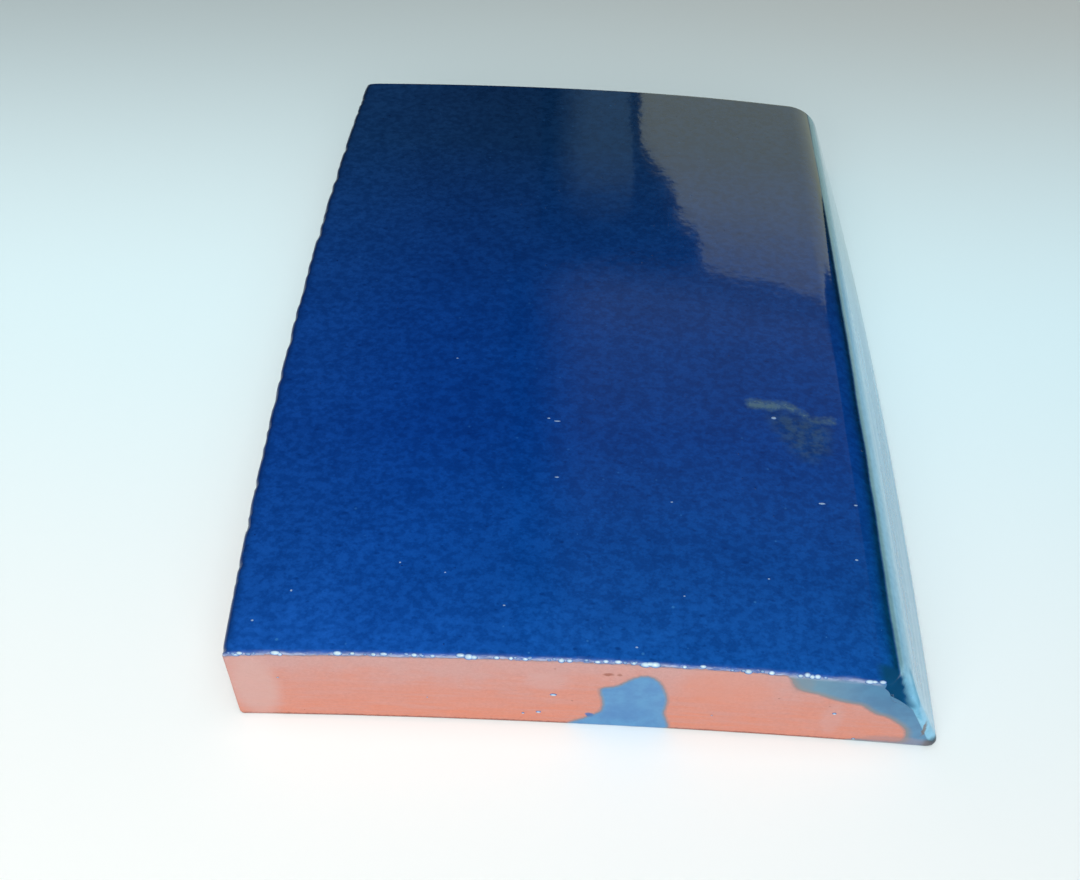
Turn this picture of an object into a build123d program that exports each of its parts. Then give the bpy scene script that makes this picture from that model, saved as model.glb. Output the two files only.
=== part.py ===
from build123d import *

import os
from math import asin, atan2, cos, hypot, sin, sqrt, tan

# A glazed terracotta trim tile: a thick hand-cut slab with one long edge rolled over into a nose.
# X runs across the tile towards the rolled nose, Y along it and Z up out of the glazed face.
# The origin is the centre of the bounding box on the bed. Sizes are in millimetres.

# Overall sizes
length = 151.0  # halfway between the long edges, from corner line to corner line
width = 108.0  # cut edge to nose, from corner line to corner line halfway along
thickness = 18.6  # bed to the highest point of the crowned face

# How far each hand-cut side leaves a straight line at its middle
cut_edge_bow = 2.3  # outwards
nose_bow = 1.7  # outwards
front_end_hollow = 1.0  # inwards
back_end_bow = 0.9  # outwards

# The back end is cut askew: its corner at the cut edge stands this far behind its corner at the nose
back_end_skew = 3.7
# The nose runs in by this much from the front end to the back end
nose_taper = 1.5

# Crowned face
cut_edge_fall = 1.1  # how much lower the face is at the cut edge than at its crown
shoulder_fall = 1.4  # how much lower the face would be where it meets the nose
crown_offset = 3.0  # crown line, towards the nose from the middle

# Rolled nose
shoulder_setback = 6.8  # from the nose back to the line where face and nose would meet, halfway along
shoulder_radius = 8.0
toe_radius = 1.6

# Arrises
glazed_arris_radius = 1.2  # cut edge, at the face
bed_arris_radius = 0.8  # cut edge, at the bed
end_arris_radius = 0.6  # all round both ends


def arc_radius(chord, rise):
    """Radius of the arc that rises this far over a chord."""
    return chord**2 / (8 * rise) + rise / 2


# The bounding box is centred on the origin, so unequal bows shift the corners
nose_reach = nose_bow + nose_taper**2 / (16 * nose_bow)
cut_edge_x = -width / 2 + (cut_edge_bow - nose_reach) / 2
nose_x = cut_edge_x + width
middle_x = (cut_edge_x + nose_x) / 2
shoulder_x = nose_x - shoulder_setback
shoulder_z = thickness - shoulder_fall

# The back end is an arc over the chord between its corners
back_skew_angle = atan2(back_end_skew, width)
back_radius = arc_radius(hypot(width, back_end_skew), back_end_bow)
back_centre_x = middle_x - (back_radius - back_end_bow) * sin(back_skew_angle)
back_centre_drop = (back_radius - back_end_bow) * cos(back_skew_angle)
furthest_x = max(cut_edge_x, back_centre_x)
back_reach = sqrt(back_radius**2 - (furthest_x - back_centre_x) ** 2) - back_centre_drop
front_y = -(length + back_reach) / 2
back_y = front_y + length
middle_y = (front_y + back_y) / 2


def bow_share(y):
    """Share of a side's bow at y: 1 at the middle of the length, 0 at the corners."""
    return 1 - (2 * (y - middle_y) / length) ** 2


def nose_line(y):
    """X of the nose's outermost line at y."""
    return nose_x + nose_bow * bow_share(y) - nose_taper * (y - middle_y) / length


def nose_slope(outermost_x):
    """Slope of the nose face that is tangent to a toe round reaching outermost_x."""
    run = outermost_x - toe_radius - shoulder_x
    drop = shoulder_z - toe_radius
    return atan2(drop, run) - asin(toe_radius / hypot(run, drop))


def section(y):
    """Cross section of the slab at y, drawn a little below the bed."""
    underside_z = -toe_radius
    cut_x = cut_edge_x - cut_edge_bow * bow_share(y)
    toe_x = shoulder_x + (shoulder_z - underside_z) / tan(nose_slope(nose_line(y)))
    face_edge = (cut_x, thickness - cut_edge_fall)
    crown = (middle_x + crown_offset, thickness)
    shoulder = (shoulder_x, shoulder_z)
    with BuildSketch(Plane.XZ.offset(-y)) as outline:
        with BuildLine():
            Polyline(shoulder, (toe_x, underside_z), (cut_x, underside_z), face_edge)
            TangentArc(crown, face_edge, tangent=(-1, 0))
            TangentArc(crown, shoulder, tangent=(1, 0))
        make_face()
        fillet(vertices().sort_by_distance(face_edge)[0], radius=glazed_arris_radius)
        fillet(vertices().sort_by_distance(shoulder)[0], radius=shoulder_radius)
    return outline.sketch


# Cross sections at the middle and a little beyond each end
beyond_end = length / 2 + back_end_skew
sections = [section(y) for y in (middle_y - beyond_end, middle_y, middle_y + beyond_end)]

with BuildPart() as tile:
    # Slab, lofted through its sections so that both long edges bow
    loft(sections=sections)

    # Back end cut to a bowed line, and the underside to the flat bed
    with BuildSketch():
        with Locations((back_centre_x, back_y - back_centre_drop)):
            Circle(back_radius)
    extrude(amount=2 * thickness, mode=Mode.INTERSECT)

    # Front end, cut to a hollow line
    front_radius = arc_radius(width, front_end_hollow)
    with BuildSketch():
        with Locations((middle_x, front_y + front_end_hollow - front_radius)):
            Circle(front_radius)
    extrude(amount=2 * thickness, mode=Mode.SUBTRACT)

    # Rounds along the bed's long edges
    bed_edges = faces().sort_by(Axis.Z)[0].edges().sort_by(Axis.X)
    fillet(bed_edges[-1], radius=toe_radius)
    bed_edges = faces().sort_by(Axis.Z)[0].edges().sort_by(Axis.X)
    fillet(bed_edges[0], radius=bed_arris_radius)

    # Softened arrises all round both ends
    end_faces = faces().sort_by(Axis.Y)
    fillet(end_faces[0].edges() + end_faces[-1].edges(), radius=end_arris_radius)

tile.part.label = "tile"

os.makedirs("parts", exist_ok=True)
export_step(tile.part, "parts/tile.step")
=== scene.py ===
from math import asin, atan2, cos, hypot, pi, radians, sin, sqrt

import bpy
import numpy as np
from mathutils import Matrix, Vector, noise


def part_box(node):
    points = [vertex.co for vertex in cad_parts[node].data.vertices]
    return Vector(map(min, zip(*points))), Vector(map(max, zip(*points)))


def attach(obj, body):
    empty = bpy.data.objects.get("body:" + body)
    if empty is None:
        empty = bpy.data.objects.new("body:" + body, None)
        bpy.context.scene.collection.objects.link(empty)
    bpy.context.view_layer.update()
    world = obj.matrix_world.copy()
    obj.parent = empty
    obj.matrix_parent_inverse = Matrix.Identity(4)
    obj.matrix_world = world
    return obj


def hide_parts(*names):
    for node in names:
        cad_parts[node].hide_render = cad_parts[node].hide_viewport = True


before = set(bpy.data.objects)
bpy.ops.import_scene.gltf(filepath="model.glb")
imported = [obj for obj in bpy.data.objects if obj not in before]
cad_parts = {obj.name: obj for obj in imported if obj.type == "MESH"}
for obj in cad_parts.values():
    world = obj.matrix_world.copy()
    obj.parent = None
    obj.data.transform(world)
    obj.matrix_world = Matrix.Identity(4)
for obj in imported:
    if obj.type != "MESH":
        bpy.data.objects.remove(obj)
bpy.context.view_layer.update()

mm = 0.001  # sizes are written in millimetres, Blender works in metres


# Node helpers, shared by the shaders and the geometry trees

def put(tree, kind, inputs=None, **settings):
    made = tree.nodes.new(kind)
    for name, value in settings.items():
        setattr(made, name, value)
    for name, value in (inputs or {}).items():
        feed(tree, value, made.inputs[name])
    return made


def feed(tree, value, socket):  # a socket is linked, a plain value is set
    if isinstance(value, bpy.types.NodeSocket):
        tree.links.new(value, socket)
    else:
        socket.default_value = value


def maths(tree, operation, first, second=0.0, third=0.0):
    return put(tree, "ShaderNodeMath", {0: first, 1: second, 2: third}, operation=operation).outputs[0]


def remap(tree, value, lowIn, highIn, lowOut=0.0, highOut=1.0):
    levels = {"Value": value, "From Min": lowIn, "From Max": highIn, "To Min": lowOut, "To Max": highOut}
    return put(tree, "ShaderNodeMapRange", levels, interpolation_type="SMOOTHSTEP").outputs["Result"]


def times(tree, product, *factors):
    for factor in factors:
        product = maths(tree, "MULTIPLY", product, factor)
    return product


def scaleAdd(tree, value, factor, addend):
    return maths(tree, "MULTIPLY_ADD", value, factor, addend)


def between(tree, share, first, second):
    return put(tree, "ShaderNodeMix", {0: share, 2: first, 3: second}, data_type="FLOAT").outputs[0]


def blendColours(tree, share, first, second, how="MIX"):
    sides = {0: share, 6: first, 7: second}
    return put(tree, "ShaderNodeMix", sides, data_type="RGBA", blend_type=how).outputs[2]


def shade(tree, share, colour, tint):  # a share of the colour is multiplied by a tint
    return blendColours(tree, share, colour, tint, "MULTIPLY")


def noiseField(tree, place, scale, detail, output="Fac"):
    levels = {"Vector": place, "Scale": scale, "Detail": detail}
    return put(tree, "ShaderNodeTexNoise", levels).outputs[output]


def separated(tree, place):
    return put(tree, "ShaderNodeSeparateXYZ", {"Vector": place}).outputs


def rgba(red, green, blue):
    return (red, green, blue, 1.0)


# The slab: one lofted section with bowed long edges, cut at both ends

low, high = (np.array(corner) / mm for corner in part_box("tile"))

slab = {
    "cutEdgeBow": 2.3,
    "noseBow": 1.7,
    "noseTaper": 1.5,  # the nose runs in by this much from the front end to the back end
    "frontHollow": 1.0,
    "backBow": 0.9,
    "backSkew": 3.7,  # the back corner at the cut edge stands this far behind the one at the nose
    "cutEdgeFall": 1.1,
    "shoulderFall": 1.4,
    "crownOffset": 3.0,
    "shoulderSetback": 6.8,
    "shoulderRound": 8.0,
    "toeRound": 1.6,
    "glazedArris": 1.2,
    "bedArris": 0.8,
    "endArris": 0.6,
    "shoulderEndArris": 3.2,  # at the shoulder's front corner
    "noseEndArris": 1.3,  # down the nose's front end
    "cornerStretch": 0.5,  # how much further that corner's round reaches back than down
    "cornerPlace": (0.6, 15.2),  # X from the shoulder, and Z
    "cornerSpread": (3.4, 4.2),
    "facesAcross": 150,
    "facesUp": 40,
    "facesAlong": 170,
    "facesRound": 6,  # round an end arris
    "crowding": 0.62,  # how much closer the faces stand towards the arrises
}

noseReach = slab["noseBow"] + slab["noseTaper"] ** 2 / (16 * slab["noseBow"])
width = high[0] - low[0] - slab["cutEdgeBow"] - noseReach
thickness = high[2]
cutEdgeX = low[0] + slab["cutEdgeBow"]
noseX = cutEdgeX + width
middleX = cutEdgeX + width / 2
frontY = low[1]
length = high[1] - low[1] - slab["backSkew"] / 2  # halfway between the long edges
backY = frontY + length
crownX = middleX + slab["crownOffset"]
shoulderX = noseX - slab["shoulderSetback"]
shoulderZ = thickness - slab["shoulderFall"]


def crowd(count):  # 0 to 1 in steps that are finer at both ends
    even = np.linspace(0, 1, count + 1)
    return even - slab["crowding"] * np.sin(2 * pi * even) / (2 * pi)


def arc(centre, radius, startAngle, endAngle, count=24):
    angles = np.linspace(startAngle, endAngle, count + 1)
    return np.c_[centre[0] + radius * np.cos(angles), centre[1] + radius * np.sin(angles)]


def spread(line, shares):  # points at these shares of a line's length
    steps = np.hypot(*np.diff(line, axis=0).T)
    reach = np.r_[0, np.cumsum(steps)]
    return np.c_[[np.interp(shares * reach[-1], reach, line[:, axis]) for axis in (0, 1)]].T


def crownArc(edgeX, fall):  # radius and centre height of one half of the crowned face
    run = abs(edgeX - crownX)
    radius = (run**2 + fall**2) / (2 * fall)
    return radius, thickness - radius


def bowShare(y):  # 1 halfway along a long edge, 0 at its ends
    return 1 - (2 * (y - frontY) / length - 1) ** 2


def noseLine(y):  # X of the nose's outermost line
    return noseX + slab["noseBow"] * bowShare(y) - slab["noseTaper"] * ((y - frontY) / length - 0.5)


def sectionLoop(cutY, noseY):  # closed outline in X and Z: face, nose, bed, cut edge
    cutX = cutEdgeX - slab["cutEdgeBow"] * bowShare(cutY)
    toe = slab["toeRound"]
    toeCentre = (noseLine(noseY) - toe, toe)
    run, drop = toeCentre[0] - shoulderX, shoulderZ - toe
    slope = atan2(drop, run) - asin(toe / hypot(run, drop))

    arris = slab["glazedArris"]
    leftRadius, leftZ = crownArc(cutX, slab["cutEdgeFall"])
    arrisX = cutX + arris
    arrisCentre = (arrisX, leftZ + sqrt((leftRadius - arris) ** 2 - (arrisX - crownX) ** 2))
    arrisAngle = atan2(arrisCentre[1] - leftZ, arrisX - crownX)

    # The shoulder's centre is its radius inside the nose face and inside the crown arc
    rightRadius, rightZ = crownArc(shoulderX, slab["shoulderFall"])
    shoulder = slab["shoulderRound"]
    startX = shoulderX - shoulder * sin(slope) - crownX
    startZ = shoulderZ - shoulder * cos(slope) - rightZ
    half = startX * cos(slope) - startZ * sin(slope)
    gap = startX**2 + startZ**2 - (rightRadius - shoulder) ** 2
    travel = -half - sqrt(half**2 - gap)
    shoulderCentre = (crownX + startX + travel * cos(slope), rightZ + startZ - travel * sin(slope))
    shoulderAngle = atan2(shoulderCentre[1] - rightZ, shoulderCentre[0] - crownX)
    noseAngle = pi / 2 - slope
    bed = slab["bedArris"]
    bedCentre = (cutX + bed, bed)

    arrisMiddle = (pi + arrisAngle) / 2
    shoulderMiddle = (shoulderAngle + noseAngle) / 2
    toeMiddle = (noseAngle - pi / 2) / 2
    bedMiddle = -3 * pi / 4
    face = np.vstack([
        arc(arrisCentre, arris, arrisMiddle, arrisAngle),
        arc((crownX, leftZ), leftRadius, arrisAngle, pi / 2)[1:],
        arc((crownX, rightZ), rightRadius, pi / 2, shoulderAngle)[1:],
        arc(shoulderCentre, shoulder, shoulderAngle, shoulderMiddle)[1:],
    ])
    nose = np.vstack([
        arc(shoulderCentre, shoulder, shoulderMiddle, noseAngle),
        arc(toeCentre, toe, noseAngle, toeMiddle),
    ])
    underside = np.vstack([
        arc(toeCentre, toe, toeMiddle, -pi / 2),
        arc(bedCentre, bed, -pi / 2, bedMiddle),
    ])
    cutSide = np.vstack([
        arc(bedCentre, bed, bedMiddle, -pi),
        arc(arrisCentre, arris, pi, arrisMiddle),
    ])

    across, up = crowd(slab["facesAcross"]), np.linspace(0, 1, slab["facesUp"] + 1)
    sides = ((face, across), (nose, up), (underside, across), (cutSide, up))
    return np.vstack([spread(line, shares)[:-1] for line, shares in sides])


def endLine(x, y, rise, skew=0.0):  # Y of an end's curved line at x, with its chord halfway at y
    chord = hypot(width, skew)
    radius = chord**2 / (8 * rise) + rise / 2
    centreX = middleX - (radius - rise) * skew / chord
    centreY = y - (radius - rise) * width / chord
    return centreY + np.sqrt(radius**2 - (x - centreX) ** 2)


def frontLine(x):
    return endLine(x, frontY, slab["frontHollow"])


def backLine(x):
    return endLine(x, backY, slab["backBow"], slab["backSkew"])


def inset(loop, distance):  # the outline moved inwards
    run = np.roll(loop, -1, axis=0) - np.roll(loop, 1, axis=0)
    run /= np.hypot(*run.T)[:, None]
    inwards = np.sign(loopArea(loop)) * distance * np.ones(len(loop))
    return loop + np.c_[run[:, 1], -run[:, 0]] * inwards[:, None]


def loopArea(loop):
    following = np.roll(loop, -1, axis=0)
    return -0.5 * np.sum(loop[:, 0] * following[:, 1] - loop[:, 1] * following[:, 0])


def fillGrid(loop):  # points inside an outline, blended from its four sides
    across, up = slab["facesAcross"], slab["facesUp"]
    corners = [0, across, across + up, 2 * across + up, len(loop)]
    closed = np.vstack([loop, loop[:1]])
    top, right, bottom, left = (closed[a:b + 1] for a, b in zip(corners, corners[1:]))
    bottom, left = bottom[::-1], left[::-1]
    u = crowd(across)[:, None, None]
    v = np.linspace(0, 1, up + 1)[None, :, None]
    sides = (1 - v) * top[:, None] + v * bottom[:, None] + (1 - u) * left[None] + u * right[None]
    ties = ((1 - v) * ((1 - u) * top[0] + u * top[-1]) + v * ((1 - u) * bottom[0] + u * bottom[-1]))
    return sides - ties


def endArrises(loop):  # radius round the front end and the back end, and where the shoulder's corner is
    x, z = loop.T
    back = np.full(len(loop), slab["endArris"])
    (cornerX, cornerZ), (wide, tall) = slab["cornerPlace"], slab["cornerSpread"]
    onShoulder = np.exp(-np.hypot((x - shoulderX - cornerX) / wide, (z - cornerZ) / tall) ** 2)
    onNose = np.clip((x - shoulderX + 2) / 4, 0, 1) * np.clip(z / 3, 0, 1) ** 2
    shoulder, nose = (slab[name] - slab["endArris"] for name in ("shoulderEndArris", "noseEndArris"))
    return back + np.maximum(shoulder * onShoulder, nose * onNose), back, onShoulder


def slabMesh():
    across, up, along, steps = (slab[k] for k in ("facesAcross", "facesUp", "facesAlong", "facesRound"))
    around = 2 * (across + up)
    frontArris, backArris, blunt = endArrises(sectionLoop(frontY, frontY))
    frontDepth = frontArris * (1 + slab["cornerStretch"] * blunt)
    rings = []

    def addRing(share, insetBy, frontGap, backGap):
        lean = share * slab["backSkew"] / 2
        y = frontY + share * length
        loop = inset(sectionLoop(y + lean, y - lean), insetBy)
        near = frontLine(loop[:, 0]) + frontGap
        far = backLine(loop[:, 0]) - backGap
        rings.append(np.c_[loop[:, 0], near + share * (far - near), loop[:, 1]])

    for step in range(steps):
        turn = step / steps * pi / 2
        addRing(0, frontArris * (1 - sin(turn)), frontDepth * (1 - cos(turn)), 0)
    for share in crowd(along):
        addRing(share, 0, frontDepth, backArris)
    for step in reversed(range(steps)):
        turn = step / steps * pi / 2
        addRing(1, backArris * (1 - sin(turn)), 0, backArris * (1 - cos(turn)))

    points = list(np.vstack(rings))
    zones = list(np.tile(np.repeat(["face", "nose", "bed", "cut"], [across, up, across, up]), len(rings)))
    faces = []
    for ring in range(len(rings) - 1):
        for place in range(around):
            a, b = ring * around + place, ring * around + (place + 1) % around
            faces.append((a, b, b + around, a + around))

    for ring, endY, zone in ((0, frontLine, "front"), (len(rings) - 1, backLine, "back")):
        grid = fillGrid(rings[ring][:, [0, 2]])
        index = np.zeros(grid.shape[:2], int)
        index[:, 0] = np.arange(across + 1)
        index[-1, :] = across + np.arange(up + 1)
        index[:, -1] = (2 * across + up - np.arange(across + 1)) % around
        index[0, 1:] = around - np.arange(1, up + 1)
        index += ring * around
        for i in range(1, across):
            for j in range(1, up):
                x, z = grid[i, j]
                index[i, j] = len(points)
                points.append((x, endY(x), z))
                zones.append(zone)
        for i in range(across):
            for j in range(up):
                quad = (index[i, j], index[i, j + 1], index[i + 1, j + 1], index[i + 1, j])
                faces.append(quad if zone == "front" else quad[::-1])
    return np.array(points), np.array(zones), faces


points, zones, faces = slabMesh()
print("slab:", len(points), "points,", len(faces), "faces")


# Where the glaze lies: a reach in millimetres, positive under glaze, and a body from thin 0 to thick 1

glazing = {
    "frontOverrun": -0.12,  # how far the glaze runs past the front arris onto the clay
    "lineInside": 0.16,  # from the glaze's edge to the pale line along the arris
    "backOverrun": 1.1,
    "cutOverrun": 1.6,
    "toeOverrun": 0.8,
    "mostReach": 6.0,
    "edgeWander": [(0.30, 5.0, 1), (0.16, 1.6, 2)],  # amount, size and seed of each part
    "runLength": 7.0,  # how far the glaze runs down the hidden sides, and how wide the runs are
    "runWidth": 9.0,
    "lineWidth": (0.30, 0.36),  # of the pale line, below its middle and above it
    "lineEnd": 44.0,  # X where it ends
    "lineFade": 2.0,
    # Beyond this X the nose is painted pale, as a painted reflection, below this Z at the front end, and
    # below a lower one at the back
    "rolledFrom": 30.0,
    "noseTop": 16.55,
    "noseTopFall": 0.65,
    "noseTopWander": [(0.12, 9.0, 5)],
    "noseFade": 1.5,
    # The painted shade along the crease above it: its middle, width above and below, and fade along the
    # length
    "creaseRise": 0.12,
    "creaseWidth": (0.36, 0.22),
    "creaseThinning": 0.12,
    "creaseFade": [(0.76, 1.0), (0.86, 0.1)],
    # Z, and how far back from the front end the nose's corner is in painted shade there
    "cornerShade": [(10.7, -0.5), (11.4, 0.12), (12.7, 0.45), (14.0, 1.30), (15.3, 2.15), (16.3, 2.70),
                    (17.2, 3.3)],
    "cornerStart": 42.5,
    "cornerFade": 1.5,
    "cornerBlur": 0.7,
    "smearBody": 0.33,
    "washBody": 0.14,
    # X and Z of the marks on the front end
    "smear": [(-2.0, -0.6), (0.8, 2.6), (2.8, 4.6), (3.0, 7.6), (2.5, 11.0), (5.0, 12.1), (7.0, 14.2),
              (9.1, 15.3), (11.0, 14.2), (12.2, 11.4), (12.8, 8.6), (12.6, 5.0), (12.5, -0.6)],
    "wash": [(30.0, 18.4), (30.4, 16.4), (31.9, 14.0), (35.0, 13.0), (37.4, 11.9), (39.8, 11.2),
             (41.7, 10.8), (44.0, 8.8), (46.0, 8.0), (48.3, 6.1), (49.4, 4.7), (49.9, 2.6), (49.2, 1.0),
             (45.6, 0.7), (42.2, 0.7), (41.6, -1.0), (58.0, -1.0), (58.0, 8.0), (48.6, 20.0), (32.6, 20.0)],
    # X and Y of the dull rub on the face, and its fading patch
    "rub": [(27.8, -21.2), (31.0, -21.5), (33.8, -21.1), (36.1, -22.5), (38.0, -24.2), (41.4, -24.1)],
    "rubThickness": [1.1, 1.15, 0.9, 0.6, 0.55, 0.85],  # at each place along it
    "rubPatch": [(30.1, -22.5), (36.5, -23.0), (41.0, -25.5), (41.0, -31.0), (37.0, -34.5), (33.0, -31.0)],
    "darkArrisDepth": 0.4,  # where the cut edge's arris is darkest
    "darkArrisWidth": 0.9,
    "backArrisWidth": 0.55,
    "raggedness": 0.55,  # of the cut edge's arris
    "raggedWander": [(1.0, 1.9, 6), (0.6, 0.8, 8)],
    # Y along that arris, length and depth of each nick
    "nicks": [(50.9, 2.2, 0.30), (40.5, 1.8, 0.16), (22.5, 2.8, 0.45), (-8.0, 2.0, 0.14), (-37.0, 2.4, 0.18)],
    "nickReach": 1.5,  # across the arris
}


def smoothOutline(corners, steps=6):  # a closed Catmull-Rom curve through the corners
    corners = np.array(corners, float)
    before, after, beyond = (np.roll(corners, shift, axis=0) for shift in (1, -1, -2))
    curve = []
    for t in np.arange(steps) / steps:
        curve.append(0.5 * (2 * corners + (after - before) * t
                     + (2 * before - 5 * corners + 4 * after - beyond) * t**2
                     + (3 * corners - before - 3 * after + beyond) * t**3))
    return np.stack(curve, axis=1).reshape(-1, 2)


def lineDistance(places, line):  # from each place to an open line
    nearest = np.full(len(places), 1e9)
    for start, end in zip(line, line[1:]):
        run = end - start
        share = np.clip((places - start) @ run / max(run @ run, 1e-12), 0, 1)
        nearest = np.minimum(nearest, np.hypot(*(places - start - share[:, None] * run).T))
    return nearest


def depthInside(places, outline):  # signed distance from a closed outline, positive inside
    closed = np.vstack([outline, outline[:1]])
    inside = np.zeros(len(places), bool)
    for start, end in zip(closed, closed[1:]):
        beside = (start[1] > places[:, 1]) != (end[1] > places[:, 1])
        rise = end[1] - start[1] if end[1] != start[1] else 1e-9
        crossing = start[0] + (end[0] - start[0]) * (places[:, 1] - start[1]) / rise
        inside ^= beside & (places[:, 0] < crossing)
    distance = lineDistance(places, closed)
    return np.where(inside, distance, -distance)


def wander(places, size, seed):  # smooth noise from -1 to 1 with features of this size
    shift = Vector((seed * 7.3, seed * 3.1, seed))
    return np.array([noise.noise(Vector(place) / size + shift) for place in places])


def wanderings(places, parts):  # noise of several amounts, sizes and seeds together
    return sum(amount * wander(places, size, seed) for amount, size, seed in parts)


def faceHeight(x):
    leftRadius, leftZ = crownArc(cutEdgeX, slab["cutEdgeFall"])
    rightRadius, rightZ = crownArc(shoulderX, slab["shoulderFall"])
    left = leftZ + np.sqrt(leftRadius**2 - (x - crownX) ** 2)
    return np.where(x < crownX, left, rightZ + np.sqrt(rightRadius**2 - (x - crownX) ** 2))


def surfaceMasks(points, zones):
    x, y, z = points.T
    arris, backRound, _ = endArrises(points[:, [0, 2]])
    most = glazing["mostReach"]
    halfRound = arris * pi / 4
    fromFront = y - frontLine(x)
    fromBack = backLine(x) - y
    below = np.clip(faceHeight(x) - z, 0, None)

    # Distance from the glazed outline of the front end, and how far past the arris a place lies
    atFront = fromFront < arris * 1.01
    glazedLine = sectionLoop(frontY, frontY)[:slab["facesAcross"] + slab["facesUp"]]
    underEdge = np.zeros(len(points))
    underEdge[atFront] = lineDistance(points[atFront][:, [0, 2]], glazedLine)
    turn = np.arctan2(arris - fromFront, np.maximum(arris - underEdge, 1e-6))
    pastArris = np.where(fromFront > arris, arris - fromFront - halfRound, (turn - pi / 4) * arris)
    pastArris = np.where(underEdge > arris, halfRound + underEdge - arris, pastArris)
    edgeWander = wanderings(points, glazing["edgeWander"])
    runs = np.clip(wander(points, glazing["runWidth"], 3), 0, 1) ** 2 * glazing["runLength"]
    frontReach = glazing["frontOverrun"] + 0.6 * edgeWander + halfRound - pastArris
    lineReach = frontReach - glazing["lineInside"]
    lineBelow, lineAbove = glazing["lineWidth"]
    frontArris = np.exp(-(lineReach / np.where(lineReach > 0, lineAbove, lineBelow)) ** 2)
    frontArris *= np.clip((glazing["lineEnd"] - x) / glazing["lineFade"], 0, 1)
    frontArris = np.where(atFront | (zones == "face"), frontArris, 0)
    backReach = glazing["backOverrun"] + 1.5 * edgeWander + runs + backRound - below
    cutReach = glazing["cutOverrun"] + 2.0 * edgeWander + runs + slab["glazedArris"] - below
    bedReach = glazing["toeOverrun"] + 2.0 * edgeWander - (noseLine(y) - slab["toeRound"] - x)

    onEndFace = (zones == "face") & (x < glazing["lineEnd"])
    onEnd = atFront & (np.isin(zones, ("front", "bed", "cut")) | onEndFace)
    depths = {name: np.full(len(points), -most) for name in ("smear", "wash")}
    for name in depths:
        depths[name][onEnd] = depthInside(points[onEnd][:, [0, 2]], smoothOutline(glazing[name]))
    smeared = np.maximum(depths["smear"], depths["wash"])

    reach = np.full(len(points), most)
    reach = np.where(zones == "cut", cutReach, reach)
    reach = np.where(zones == "bed", bedReach, reach)
    reach = np.where((zones == "back") | ((fromBack < backRound) & (zones == "cut")), backReach, reach)
    reach = np.where(onEnd, np.maximum(frontReach, smeared), reach)
    reach = np.clip(reach, -most, most)

    thin = onEnd & ((zones != "face") | ((pastArris > 0.15) & (smeared > frontReach)))
    body = np.where(thin, glazing["smearBody"], 1.0)
    body = np.where(thin & (depths["wash"] > depths["smear"]), glazing["washBody"], body)

    # Dark arrises at the cut edge and the back, partly deeper glaze and partly painted shade, and the nose's
    # share of painted reflection, with painted shade at its crease and its corner
    fromCutEdge = x - cutEdgeX + slab["cutEdgeBow"] * bowShare(y)
    darkest = glazing["darkArrisDepth"]
    cutArris = np.hypot(fromCutEdge - darkest, below - darkest) / glazing["darkArrisWidth"]
    backArris = np.hypot(fromBack, below) / glazing["backArrisWidth"]
    darkArris = np.maximum(np.exp(-cutArris**2), np.exp(-backArris**2))
    along = (y - frontY) / length
    uneven = wanderings(np.c_[x * 0, y, z * 0], glazing["noseTopWander"])
    startZ = glazing["noseTop"] - glazing["noseTopFall"] * along + uneven
    rolled = (x > glazing["rolledFrom"]) & ((zones == "nose") | (zones == "face"))
    onNose = np.where(rolled, np.clip((startZ - z) / glazing["noseFade"], 0, 1), 0)
    rise, (wideAbove, wideBelow) = glazing["creaseRise"], glazing["creaseWidth"]
    creaseWidth = np.where(z > startZ + rise, wideAbove - glazing["creaseThinning"] * along, wideBelow)
    creaseZ = (z - startZ - rise) / creaseWidth
    crease = np.where(rolled, np.exp(-creaseZ**2) * np.interp(along, *zip(*glazing["creaseFade"])), 0)
    corner = np.clip((x - glazing["cornerStart"]) / glazing["cornerFade"], 0, 1)
    cornerFront = np.interp(z, *zip(*glazing["cornerShade"]))
    shaded = np.clip((cornerFront - fromFront) / glazing["cornerBlur"] + 0.5, 0, 1)
    inCorner = np.where(rolled, shaded * corner, 0)
    onNose *= 1 - inCorner

    onFace = zones == "face"
    rub = np.full(len(points), -most)
    rubPatch = rub.copy()
    thick = np.interp(x[onFace], [place for place, _ in glazing["rub"]], glazing["rubThickness"])
    rub[onFace] = thick - lineDistance(points[onFace][:, :2], np.array(glazing["rub"]))
    rubPatch[onFace] = depthInside(points[onFace][:, :2], smoothOutline(glazing["rubPatch"]))

    nearCutEdge = np.exp(-(np.hypot(fromCutEdge, below) / glazing["nickReach"]) ** 2)
    edgeLine = np.c_[x * 0, y, z * 0.4]
    ragged = np.clip(wanderings(edgeLine, glazing["raggedWander"]), 0, 1)
    nick = glazing["raggedness"] * ragged * nearCutEdge
    for place, span, depth in glazing["nicks"]:
        nick += depth * np.exp(-(((y - place) / (span / 2)) ** 4)) * nearCutEdge

    resting = np.where((zones == "bed") & (z < 0.3), 0.0, 1.0)
    return {
        "glazeReach": reach,
        "glazeBody": body,
        "frontArris": frontArris,
        "darkArris": darkArris,
        "noseReflectionShare": onNose,
        "crease": crease,
        "cornerShade": inCorner,
        "rubReach": np.clip(rub, -most, most),
        "rubPatch": np.clip(rubPatch, -most, most),
        "nick": nick,
        "freeToMove": resting,
    }


# Glaze droplets along the front arris and stray flecks, each a point that carries its size

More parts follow.
